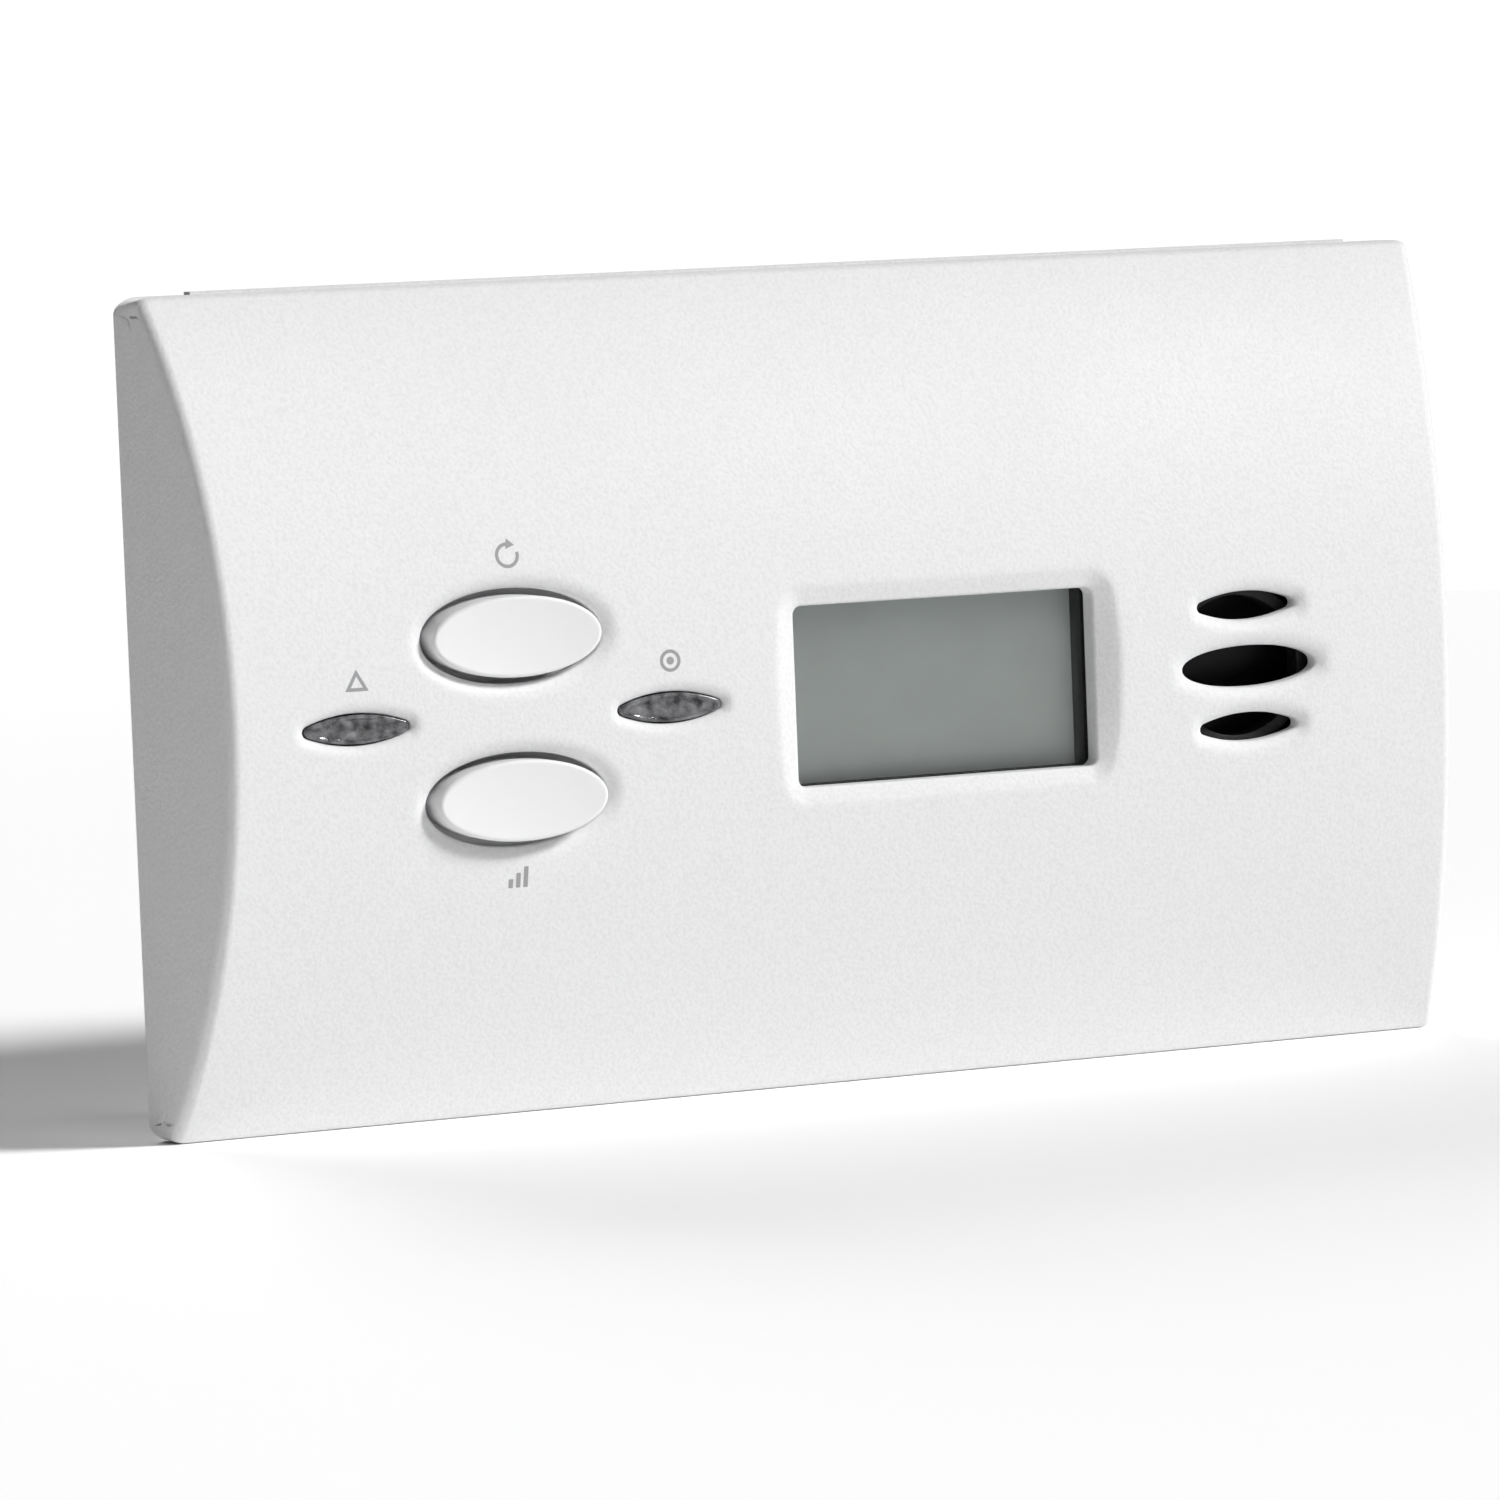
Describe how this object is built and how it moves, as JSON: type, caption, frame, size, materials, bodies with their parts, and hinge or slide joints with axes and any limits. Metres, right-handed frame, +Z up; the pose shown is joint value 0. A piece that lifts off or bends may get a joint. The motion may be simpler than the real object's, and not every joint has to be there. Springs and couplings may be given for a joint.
{
  "type": "carbon monoxide alarm",
  "caption": "Battery-powered carbon monoxide alarm with a bowed white face, push buttons, grey display, sound slots, rear battery pod with hinged door and keyholes.",
  "frame": {"origin": "middle of the footprint on the surface that the alarm stands on: centred across the width and depth, at the lowest point", "axes": "+X across the face to the viewer's right, +Z up the face, -Y out of the face towards the viewer, +Y towards the wall"},
  "size_m": [0.145, 0.039, 0.0843],
  "materials": {
    "white_cover": "fine spark-textured white moulding",
    "white_cap": "smooth satin white moulding",
    "clear_lens": "clear light-pipe plastic",
    "clear_window": "clear pane",
    "lcd": "grey reflective liquid crystal panel",
    "black_plastic": "black moulding",
    "contact_rubber": "elastomer strip",
    "led_red": "red diffused resin",
    "led_green": "green diffused resin",
    "board": "green solder mask over glass fibre",
    "zinc_steel": "bright nickel or zinc plated steel",
    "black_steel": "black oxide or black lacquered steel",
    "ceramic": "silvered piezo ceramic",
    "coil_wire": "ferrite drum with lacquered winding",
    "capacitor_sleeve": "shrink sleeve",
    "chip_body": "chip bodies with tinned ends",
    "cell_sleeve": "printed steel-can sleeve, plain",
    "label_film": "plain silver film",
    "black_wire": "PVC insulation",
    "red_wire": "PVC insulation"
  },
  "bodies": {
    "case": {"front_cover": "white_cover", "rear_cover": "white_cover", "case_screws": "black_steel", "test_switch_body": "black_plastic", "peak_switch_body": "black_plastic", "alarm_lens": "clear_lens", "operate_lens": "clear_lens", "alarm_led": "led_red", "operate_led": "led_green", "display_window": "clear_window", "lcd_panel": "lcd", "lcd_frame": "black_plastic", "lcd_contact_strip": "contact_rubber", "circuit_board": "board", "board_screws": "zinc_steel", "horn_housing": "black_plastic", "horn_disc": "black_steel", "horn_ceramic": "ceramic", "co_sensor_can": "zinc_steel", "co_sensor_cap": "black_plastic", "co_sensor_straps": "zinc_steel", "microcontroller": "black_plastic", "horn_coil": "coil_wire", "capacitor_large": "capacitor_sleeve", "capacitor_small": "capacitor_sleeve", "driver_transistor": "black_plastic", "crystal": "zinc_steel", "chip_components": "chip_body", "battery_bottom": "cell_sleeve", "battery_middle": "cell_sleeve", "battery_top": "cell_sleeve", "battery_spring_bottom": "zinc_steel", "battery_spring_middle": "zinc_steel", "battery_spring_top": "zinc_steel", "negative_contact": "zinc_steel", "positive_contact": "zinc_steel", "bridge_contact_left": "zinc_steel", "bridge_contact_right": "zinc_steel", "negative_wire": "black_wire", "positive_wire": "red_wire"},
    "battery_door": {"battery_door": "white_cover", "rating_label": "label_film"},
    "test_button": {"test_button": "white_cap"},
    "peak_button": {"peak_button": "white_cap"},
    "test_switch_plunger": {"test_switch_plunger": "black_plastic"},
    "peak_switch_plunger": {"peak_switch_plunger": "black_plastic"}
  },
  "joints": [
    {"name": "test_press", "type": "slide", "parent": "case", "child": "test_button", "axis": [0, 1, 0], "range_m": [0, 0.0008], "stiffness_N_per_m": 1400},
    {"name": "peak_press", "type": "slide", "parent": "case", "child": "peak_button", "axis": [0, 1, 0], "range_m": [0, 0.0008], "stiffness_N_per_m": 1400},
    {"name": "test_switch_press", "type": "slide", "parent": "case", "child": "test_switch_plunger", "axis": [0, 1, 0], "range_m": [0, 0.00025]},
    {"name": "peak_switch_press", "type": "slide", "parent": "case", "child": "peak_switch_plunger", "axis": [0, 1, 0], "range_m": [0, 0.00025]},
    {"name": "door_swing", "type": "hinge", "parent": "case", "child": "battery_door", "pos_m": [0, 0.01795, 0.0152], "axis": [-1, 0, 0], "range_deg": [0, 100]}
  ],
  "couplings": [
    {"joint": "test_switch_press", "follows": "test_press", "ratio": 0.3125},
    {"joint": "peak_switch_press", "follows": "peak_press", "ratio": 0.3125}
  ]
}
